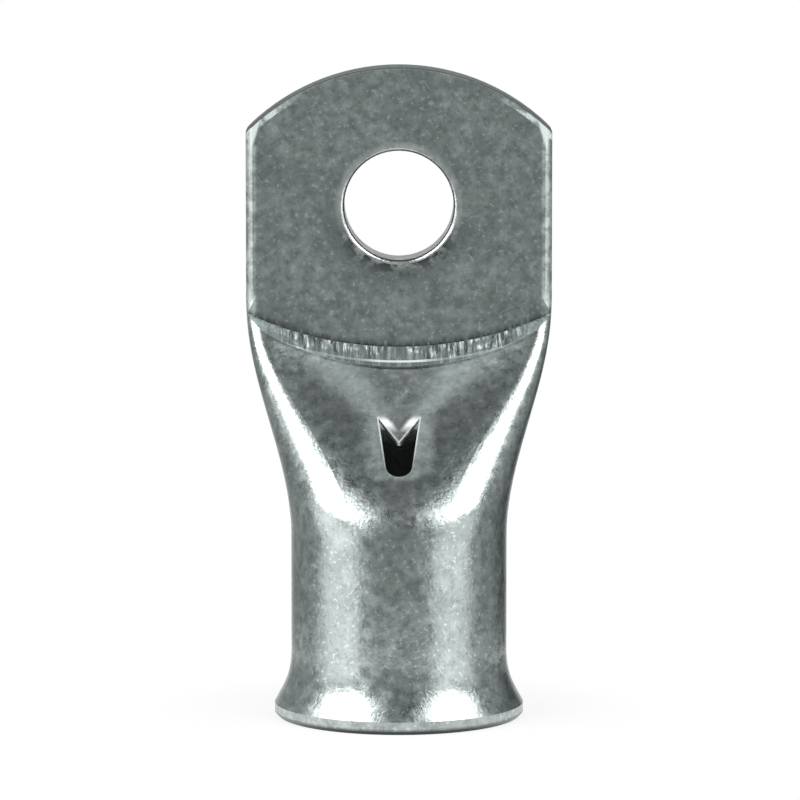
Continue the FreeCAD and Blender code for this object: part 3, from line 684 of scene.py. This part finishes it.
ridge_fade = add_node(tree, "MapRange", values=RIDGE_FADE, links={"Value": from_ridge})
hollow_shade = add_node(tree, "Math", links={0: fan_shade, 1: ridge_fade}, operation="MULTIPLY")
slope_shade = add_node(tree, "Math", links={0: hollow_shade, 1: on_slope}, operation="MULTIPLY")
# Painted shade on the hollow's flanks, then painted light in the V and its ring.
shaded_colour = add_node(
    tree,
    "Mix",
    values={"B": linear("747D7C")},
    links={"Factor": slope_shade, "A": crease_shaded_colour},
    data_type="RGBA",
)
lit_colour = add_node(
    tree,
    "Mix",
    values={"B": linear("F0FDFC")},
    links={"Factor": slope_light, "A": shaded_colour},
    data_type="RGBA",
)
print("fan opens", FAN_FROM, "mm up the slope")

# %% [markdown]
# The sight hole was punched, and its upper half left as a thin pointed tongue. A thin painted highlight
# runs along the hole's edge and the tongue's edges, and the tongue's two flanks get wider painted
# highlights near the horns, the hole's two upper corners. The masks made here also serve the shader in the
# end, which is mostly plain paint where these highlights are painted.

# %% Painted highlights round the sight hole
HOLE_WIDENS = 0.125
HORNS_LEVEL = 5.5
TONGUE_ACROSS = (-0.829, 0.559, 0.0)
TONGUE_EDGE = 1.733
# Each pair is the middle of a painted highlight line and half its width.
EDGE_HIGHLIGHT = {1: 0.05, 2: 0.07}
TONGUE_HIGHLIGHT = {1: TONGUE_EDGE + 0.045, 2: 0.055}
EDGE_HIGHLIGHT_FADE = {"From Min": 0.8, "From Max": 3.4, "To Min": 0.1, "To Max": 0.6}
TONGUE_HIGHLIGHT_SHARE = 0.6
FLANK = {"From Min": TONGUE_EDGE + 0.42, "From Max": TONGUE_EDGE + 0.72, "To Min": 1.0, "To Max": 0.0}
FLANK_FOOT = {"From Min": 4.0, "From Max": 4.8}
FLANK_TOP = {"From Min": 5.2, "From Max": 5.7, "To Min": 1.0, "To Max": 0.0}
hole_vector = add_node(tree, "CombineXYZ", links={"X": off_middle, "Y": below_bowl})
off_hole_middle = add_node(tree, "VectorMath", links={0: hole_vector}, operation="LENGTH")
above_bowl = add_node(tree, "Math", values={1: 0.0}, links={0: from_bowl}, operation="MAXIMUM")
hole_half = add_node(
    tree,
    "Math",
    values={1: HOLE_WIDENS, 2: HOLE_RADIUS},
    links={0: above_bowl},
    operation="MULTIPLY_ADD",
)
off_edge = add_node(tree, "Math", links={0: off_hole_middle, 1: hole_half}, operation="SUBTRACT")
# A painted highlight along the hole's edge below the horns, fainter towards the hole's foot.
hole_edge_highlight = add_node(tree, "Math", values=EDGE_HIGHLIGHT, links={0: off_edge}, operation="COMPARE")
under_horns = add_node(tree, "Math", values={1: HORNS_LEVEL}, links={0: up_slope}, operation="LESS_THAN")
lower_hole_highlight = add_node(tree, "Math", links={0: hole_edge_highlight, 1: under_horns}, operation="MULTIPLY")
flank_vector = add_node(tree, "CombineXYZ", links={"X": off_middle, "Y": up_slope})
tongue_side = add_node(
    tree,
    "VectorMath",
    values={1: TONGUE_ACROSS},
    links={0: flank_vector},
    operation="DOT_PRODUCT",
)
tongue_edge_highlight = add_node(tree, "Math", values=TONGUE_HIGHLIGHT, links={0: tongue_side}, operation="COMPARE")
on_tongue = add_node(
    tree,
    "Math",
    values={1: TONGUE_EDGE},
    links={0: tongue_side},
    operation="GREATER_THAN",
)
# Painted highlights on the tongue's two flanks, near the horns.
beside_edge = add_node(tree, "MapRange", values=FLANK, links={"Value": tongue_side})
high_on_tongue = add_node(tree, "MapRange", values=FLANK_FOOT, links={"Value": up_slope})
below_horns = add_node(tree, "MapRange", values=FLANK_TOP, links={"Value": up_slope})
flank_height = add_node(tree, "Math", links={0: high_on_tongue, 1: below_horns}, operation="MULTIPLY")
flank_width = add_node(tree, "Math", links={0: on_tongue, 1: beside_edge}, operation="MULTIPLY")
flank_flash = add_node(tree, "Math", links={0: flank_width, 1: flank_height}, operation="MULTIPLY")
thin_tongue_highlight = add_node(
    tree,
    "Math",
    values={1: TONGUE_HIGHLIGHT_SHARE},
    links={0: tongue_edge_highlight},
    operation="MULTIPLY",
)
tongue_flash = add_node(tree, "Math", links={0: thin_tongue_highlight, 1: under_horns}, operation="MULTIPLY")
burr_fade = add_node(tree, "MapRange", values=EDGE_HIGHLIGHT_FADE, links={"Value": up_slope})
faded_hole_highlight = add_node(tree, "Math", links={0: lower_hole_highlight, 1: burr_fade}, operation="MULTIPLY")
edge_highlights = add_node(tree, "Math", links={0: faded_hole_highlight, 1: tongue_flash}, operation="MAXIMUM")
flash = add_node(tree, "Math", links={0: edge_highlights, 1: flank_flash}, operation="MAXIMUM")
flash_share = add_node(tree, "Math", links={0: flash, 1: on_slope}, operation="MULTIPLY")
# All painted highlights of the sight hole, in white.
slope_colour = add_node(
    tree,
    "Mix",
    values={"B": linear("FFFFFF")},
    links={"Factor": flash_share, "A": lit_colour},
    data_type="RGBA",
)
print("hole is", 2 * HOLE_RADIUS, "mm across at its round end")

# %% [markdown]
# Little light gets into the closed end of the tube, and the inside is coloured nearly black as painted
# shade.
# The inside is told from the outside by its depth below the sloping front, near the middle: through the
# wall's thickness that is the hole's own width, and behind it the width of the cavity. The painted shade
# ends where the tongue begins, above which the hole's walls still catch light.

# %% Inside of the tube
INSIDE_DEPTH = {"From Min": 0.3, "From Max": 2.4}
INSIDE_REACH = {"From Min": 1.9, "From Max": 2.1, "To Min": 1.62, "To Max": 4.6}
CAVITY_BACK = 7.0
CAVITY_FOOT = 16.5
OFF_PALM = 0.2
INSIDE_SHADE_TOP = {"From Min": 20.0, "From Max": 21.4, "To Min": 1.0, "To Max": 0.0}
deep = add_node(tree, "MapRange", values=INSIDE_DEPTH, links={"Value": depth})
hole_reach = add_node(tree, "MapRange", values=INSIDE_REACH, links={"Value": depth})
near_middle = add_node(tree, "Math", links={0: off_middle, 1: hole_reach}, operation="LESS_THAN")
before_back = add_node(
    tree,
    "Math",
    values={1: CAVITY_BACK},
    links={0: axes.outputs["Y"]},
    operation="LESS_THAN",
)
above_barrel = add_node(
    tree,
    "Math",
    values={1: CAVITY_FOOT},
    links={0: axes.outputs["Z"]},
    operation="GREATER_THAN",
)
off_palm = add_node(tree, "Math", values={1: OFF_PALM}, links={0: off_ledge}, operation="GREATER_THAN")
in_tube = add_node(tree, "Math", links={0: near_middle, 1: before_back}, operation="MULTIPLY")
deep_in_tube = add_node(tree, "Math", links={0: in_tube, 1: deep}, operation="MULTIPLY")
in_slope = add_node(tree, "Math", links={0: above_barrel, 1: off_palm}, operation="MULTIPLY")
shaded_inside = add_node(tree, "Math", links={0: deep_in_tube, 1: in_slope}, operation="MULTIPLY")
low_inside = add_node(tree, "MapRange", values=INSIDE_SHADE_TOP, links={"Value": axes.outputs["Z"]})
inside_shade = add_node(tree, "Math", links={0: shaded_inside, 1: low_inside}, operation="MULTIPLY")
# Painted shade: the inside of the tube, nearly black.
skin_colour = add_node(
    tree,
    "Mix",
    values={"B": linear("161514")},
    links={"Factor": inside_shade, "A": slope_colour},
    data_type="RGBA",
)
print("stain from", CAVITY_FOOT, "up to", INSIDE_SHADE_TOP["From Max"], "mm")

# %% [markdown]
# The lug was cut off and chamfered at the mouth, and it stands on that edge; the chamfer's lowest part is
# darkened with painted shade. Along the palm's long sides rubbing in the box has left the rounded edges
# duller, and a lighter line along them that comes and goes is a painted highlight. The shear left the cut
# end of the tip rough, so it is duller and darker than the skin.

# %% Rim, sides and tip
RIM_SHADE = {"From Min": 0.22, "From Max": 0.5, "To Min": 1.0, "To Max": 0.0}
SIDE_LINE = {"From Min": 10.85, "From Max": 11.05}
PALM_FOOT = 30.2
FRONT_HALF = 5.0
SIDE_BREAKS = {"From Min": 0.42, "From Max": 0.58, "To Min": 0.05, "To Max": 0.6}
TIP_MIDDLE = 32.65
TIP_RADIUS = 16.6
TIP_FROM = 43.0
TIP_END = {"From Min": TIP_RADIUS - 0.18, "From Max": TIP_RADIUS - 0.04, "To Min": 0.0, "To Max": 0.85}
# Painted shade along the bottom edge of the mouth's chamfer.
rim_shade = add_node(tree, "MapRange", values=RIM_SHADE, links={"Value": axes.outputs["Z"]})
rim_colour = add_node(
    tree,
    "Mix",
    values={"B": linear("3C4140")},
    links={"Factor": rim_shade, "A": skin_colour},
    data_type="RGBA",
)
side_line = add_node(tree, "MapRange", values=SIDE_LINE, links={"Value": off_middle})
on_palm = add_node(
    tree,
    "Math",
    values={1: PALM_FOOT},
    links={0: axes.outputs["Z"]},
    operation="GREATER_THAN",
)
on_front = add_node(
    tree,
    "Math",
    values={1: FRONT_HALF},
    links={0: axes.outputs["Y"]},
    operation="LESS_THAN",
)
palm_side = add_node(tree, "Math", links={0: side_line, 1: on_palm}, operation="MULTIPLY")
rubbed_and_highlit_side = add_node(tree, "Math", links={0: palm_side, 1: on_front}, operation="MULTIPLY")
side_breaks = add_node(tree, "MapRange", values=SIDE_BREAKS, links={"Value": patches})
side_highlight_share = add_node(tree, "Math", links={0: rubbed_and_highlit_side, 1: side_breaks}, operation="MULTIPLY")
# A painted highlight along the palm's rounded side edges, broken in places; the same strip is also rubbed
# duller.
side_highlighted_colour = add_node(
    tree,
    "Mix",
    values={"B": linear("E6EEED")},
    links={"Factor": side_highlight_share, "A": rim_colour},
    data_type="RGBA",
)
to_tip_middle = add_node(
    tree,
    "VectorMath",
    values={1: (0.0, 0.0, TIP_MIDDLE)},
    links={0: front_view},
    operation="DISTANCE",
)
tip_arc = add_node(tree, "MapRange", values=TIP_END, links={"Value": to_tip_middle})
near_tip = add_node(
    tree,
    "Math",
    values={1: TIP_FROM},
    links={0: axes.outputs["Z"]},
    operation="GREATER_THAN",
)
tip_share = add_node(tree, "Math", links={0: tip_arc, 1: near_tip}, operation="MULTIPLY")
tip_colour = add_node(
    tree,
    "Mix",
    values={"B": linear("727A79")},
    links={"Factor": tip_share, "A": side_highlighted_colour},
    data_type="RGBA",
)
print("top of the tip at", TIP_MIDDLE + TIP_RADIUS, "mm")

# %% [markdown]
# The punch that made the stud hole rolled its front edge over. The hole's wall is darkened with painted
# shade, a paler ring over the rolled edge on the front is a painted highlight, and the palm under the hole
# carries painted shadow in patches.
# Each of these is told by how far a point lies from the hole's middle.

# %% Stud hole
STUD_LEVEL = 38.65
STUD_RADIUS = 4.2
WALL_SHADE = {"From Min": STUD_RADIUS + 0.04, "From Max": STUD_RADIUS + 0.1, "To Min": 0.85, "To Max": 0.0}
RING_START = {"From Min": STUD_RADIUS + 0.08, "From Max": STUD_RADIUS + 0.16}
RING_END = {"From Min": STUD_RADIUS + 0.4, "From Max": STUD_RADIUS + 0.8, "To Min": 1.0, "To Max": 0.0}
RING_PATCHES = {"From Min": 0.35, "From Max": 0.65, "To Min": 0.35, "To Max": 0.95}
STUD_SHADOW_START = STUD_RADIUS + 0.32
STUD_SHADOW_END = {"From Min": STUD_RADIUS + 0.4, "From Max": STUD_RADIUS + 2.0, "To Min": 1.0, "To Max": 0.0}
STUD_SHADOW_TOP = {"From Min": 35.5, "From Max": 38.5, "To Min": 1.0, "To Max": 0.0}
STUD_SHADOW_PATCHES = {"From Min": 0.42, "From Max": 0.54, "To Min": 0.0, "To Max": 0.9}
to_stud = add_node(
    tree,
    "VectorMath",
    values={1: (0.0, 0.0, STUD_LEVEL)},
    links={0: front_view},
    operation="DISTANCE",
)
# Painted shade on the hole's wall.
stud_wall_shade = add_node(tree, "MapRange", values=WALL_SHADE, links={"Value": to_stud})
wall_shaded_colour = add_node(
    tree,
    "Mix",
    values={"B": linear("434B4B")},
    links={"Factor": stud_wall_shade, "A": tip_colour},
    data_type="RGBA",
)
# A painted highlight on the rolled ring round the hole's front edge, in patches.
off_wall = add_node(tree, "MapRange", values=RING_START, links={"Value": to_stud})
near_wall = add_node(tree, "MapRange", values=RING_END, links={"Value": to_stud})
ring_patches = add_node(tree, "MapRange", values=RING_PATCHES, links={"Value": clumps})
ring_shape = add_node(tree, "Math", links={0: near_wall, 1: off_wall}, operation="MULTIPLY")
ring_highlight_share = add_node(tree, "Math", links={0: ring_shape, 1: ring_patches}, operation="MULTIPLY")
front_ring_highlight = add_node(tree, "Math", links={0: ring_highlight_share, 1: on_front}, operation="MULTIPLY")
ring_highlighted_colour = add_node(
    tree,
    "Mix",
    values={"B": linear("F4F8F8")},
    links={"Factor": front_ring_highlight, "A": wall_shaded_colour},
    data_type="RGBA",
)
# Painted shadow in patches on the palm under the hole.
round_stud = add_node(tree, "MapRange", values=STUD_SHADOW_END, links={"Value": to_stud})
outside_ring = add_node(
    tree,
    "Math",
    values={1: STUD_SHADOW_START},
    links={0: to_stud},
    operation="GREATER_THAN",
)
under_stud = add_node(tree, "MapRange", values=STUD_SHADOW_TOP, links={"Value": axes.outputs["Z"]})
shadow_ring = add_node(tree, "Math", links={0: round_stud, 1: outside_ring}, operation="MULTIPLY")
shadow_place = add_node(tree, "Math", links={0: shadow_ring, 1: under_stud}, operation="MULTIPLY")
shadow_patches = add_node(tree, "MapRange", values=STUD_SHADOW_PATCHES, links={"Value": patches})
stud_shadow = add_node(tree, "Math", links={0: shadow_place, 1: shadow_patches}, operation="MULTIPLY")
stud_shadow_share = add_node(tree, "Math", links={0: stud_shadow, 1: on_front}, operation="MULTIPLY")
stud_colour = add_node(
    tree,
    "Mix",
    values={"B": linear("434A4A")},
    links={"Factor": stud_shadow_share, "A": ring_highlighted_colour},
    data_type="RGBA",
)
print("stud hole's middle at", STUD_LEVEL, "mm")

# %% [markdown]
# At the two corners of the tip, where the shear bent the palm's rounded edge over, a painted highlight lies
# as a narrow wedge: widest at the corner, and gone nearly two millimetres below it. From the corner a
# broken streak of painted highlight runs on along the arc of the tip for a few millimetres.

# %% Corners of the tip
WEDGE_ACROSS = (0.949, 0.0, 0.316)
WEDGE_EDGE = {"From Min": 24.22, "From Max": 24.4}
WEDGE_OUTER = 11.38
CORNER_FOOT = 42.6
CORNER_RADIUS = TIP_RADIUS - 0.15
STREAK_RADIUS = TIP_RADIUS - 0.36
STREAK_HALF_WIDTH = 0.19
STREAK_FADE = {"From Min": 7.4, "From Max": 9.6, "To Min": 0.0, "To Max": 0.9}
STREAK_BREAKS = {"From Min": 0.42, "From Max": 0.55, "To Min": 0.35, "To Max": 1.0}
corner_vector = add_node(tree, "CombineXYZ", links={"X": off_middle, "Z": axes.outputs["Z"]})
wedge_reach = add_node(
    tree,
    "VectorMath",
    values={1: WEDGE_ACROSS},
    links={0: corner_vector},
    operation="DOT_PRODUCT",
)
in_wedge = add_node(tree, "MapRange", values=WEDGE_EDGE, links={"Value": wedge_reach})
wedge_outer = add_node(
    tree,
    "Math",
    values={1: WEDGE_OUTER},
    links={0: off_middle},
    operation="LESS_THAN",
)
corner_part = add_node(tree, "Math", links={0: in_wedge, 1: wedge_outer}, operation="MULTIPLY")
corner_height = add_node(
    tree,
    "Math",
    values={1: CORNER_FOOT},
    links={0: axes.outputs["Z"]},
    operation="GREATER_THAN",
)
off_tip = add_node(
    tree,
    "Math",
    values={1: CORNER_RADIUS},
    links={0: to_tip_middle},
    operation="LESS_THAN",
)
corner_zone = add_node(tree, "Math", links={0: corner_height, 1: off_tip}, operation="MULTIPLY")
corner_front = add_node(tree, "Math", links={0: corner_zone, 1: on_front}, operation="MULTIPLY")
wedge = add_node(tree, "Math", links={0: corner_part, 1: corner_front}, operation="MULTIPLY")
near_arc = add_node(
    tree,
    "Math",
    values={1: STREAK_RADIUS, 2: STREAK_HALF_WIDTH},
    links={0: to_tip_middle},
    operation="COMPARE",
)
streak_fade = add_node(tree, "MapRange", values=STREAK_FADE, links={"Value": off_middle})
streak_breaks = add_node(tree, "MapRange", values=STREAK_BREAKS, links={"Value": patches})
streak_part = add_node(tree, "Math", links={0: near_arc, 1: streak_fade}, operation="MULTIPLY")
broken_streak = add_node(tree, "Math", links={0: streak_part, 1: streak_breaks}, operation="MULTIPLY")
arc_streak = add_node(tree, "Math", links={0: broken_streak, 1: corner_front}, operation="MULTIPLY")
corner_flash = add_node(tree, "Math", links={0: wedge, 1: arc_streak}, operation="MAXIMUM")
# Painted highlights at the tip's corners, in near white.
final_colour = add_node(
    tree,
    "Mix",
    values={"B": linear("F0FAF9")},
    links={"Factor": corner_flash, "A": stud_colour},
    data_type="RGBA",
)
palm_half_width = cad_box[1][0] / MM
corner_level = TIP_MIDDLE + math.sqrt(TIP_RADIUS**2 - palm_half_width**2)
print("wedges reach", round(corner_level - CORNER_FOOT, 1), "mm below the corners")

# %% [markdown]
# Everything meets in one metal shader. Patches, a finer grain and the drag marks are also relief, a few
# hundredths of a millimetre deep, which a bump node turns into slants of the surface without a change of
# outline. The ledge, the tip's cut end and the palm's sides are duller than the rest. Where highlights are
# painted, on the sight hole and the tip's corners, on the bright drag marks and where the inside is painted
# dark, the shader is mostly plain paint.

# %% Metal shader
GRAINS_PER_MM = 4.2
GRAIN_SHARE = 0.9
DRAG_RELIEF = 3.0
RELIEF_STRENGTH = 0.5
RELIEF_DEPTH = 0.034
DULLER_LEDGE = 0.4
DULLER_TIP = 0.8
DULLER_SIDES = 0.2
BRIGHT_DRAG = {"From Min": 0.56, "From Max": 0.64, "To Min": 0.0, "To Max": 0.6}
METAL_LEFT = 0.1
grain = add_node(
    tree,
    "TexNoise",
    values={"Scale": GRAINS_PER_MM, "Detail": 1.5, "Roughness": 0.5},
    links={"Vector": in_mm},
)
height_sum = add_node(
    tree,
    "Math",
    values={1: GRAIN_SHARE},
    links={0: grain, 2: patches},
    operation="MULTIPLY_ADD",
)
drag_height = add_node(tree, "Math", links={0: drag_marks, 1: on_ledge}, operation="MULTIPLY")
skin_height = add_node(
    tree,
    "Math",
    values={1: DRAG_RELIEF},
    links={0: drag_height, 2: height_sum},
    operation="MULTIPLY_ADD",
)
relief = add_node(
    tree,
    "Bump",
    values={"Strength": RELIEF_STRENGTH, "Distance": RELIEF_DEPTH * MM},
    links={"Height": skin_height},
)
ledge_dullness = add_node(
    tree,
    "Math",
    values={1: DULLER_LEDGE},
    links={0: on_ledge, 2: dullness},
    operation="MULTIPLY_ADD",
)
tip_dullness = add_node(
    tree,
    "Math",
    values={1: DULLER_TIP},
    links={0: tip_share, 2: ledge_dullness},
    operation="MULTIPLY_ADD",
)
side_dullness = add_node(
    tree,
    "Math",
    values={1: DULLER_SIDES},
    links={0: rubbed_and_highlit_side, 2: tip_dullness},
    operation="MULTIPLY_ADD",
)
bright_drag = add_node(tree, "MapRange", values=BRIGHT_DRAG, links={"Value": drag_marks})
rough_ledge = add_node(
    tree,
    "MapRange",
    values={"To Min": 1.0, "To Max": 0.0},
    links={"Value": calm_ledge},
)
marked_ledge = add_node(tree, "Math", links={0: rough_ledge, 1: on_ledge}, operation="MULTIPLY")
drag_part = add_node(tree, "Math", links={0: bright_drag, 1: marked_ledge}, operation="MULTIPLY")
# Painted highlights, bright drag marks and the painted shade inside are mostly plain paint, not metal.
painted_highlights = add_node(tree, "Math", links={0: flash_share, 1: corner_flash}, operation="MAXIMUM")
highlights_and_drag_marks = add_node(tree, "Math", links={0: painted_highlights, 1: drag_part}, operation="MAXIMUM")
painted_light_and_drag_marks = add_node(tree, "Math", links={0: highlights_and_drag_marks, 1: shaded_inside}, operation="MAXIMUM")
metal_share = add_node(
    tree,
    "MapRange",
    values={"To Min": 1.0, "To Max": METAL_LEFT},
    links={"Value": painted_light_and_drag_marks},
)
metal = add_node(
    tree,
    "BsdfPrincipled",
    links={
        "Metallic": metal_share,
        "Base Color": final_colour,
        "Roughness": side_dullness,
        "Normal": relief,
    },
)
add_node(tree, "OutputMaterial", links={"Surface": metal})
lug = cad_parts["lug"]
lug.data.materials.clear()
lug.data.materials.append(tin)
print("tin covers", len(lug.data.polygons), "faces")
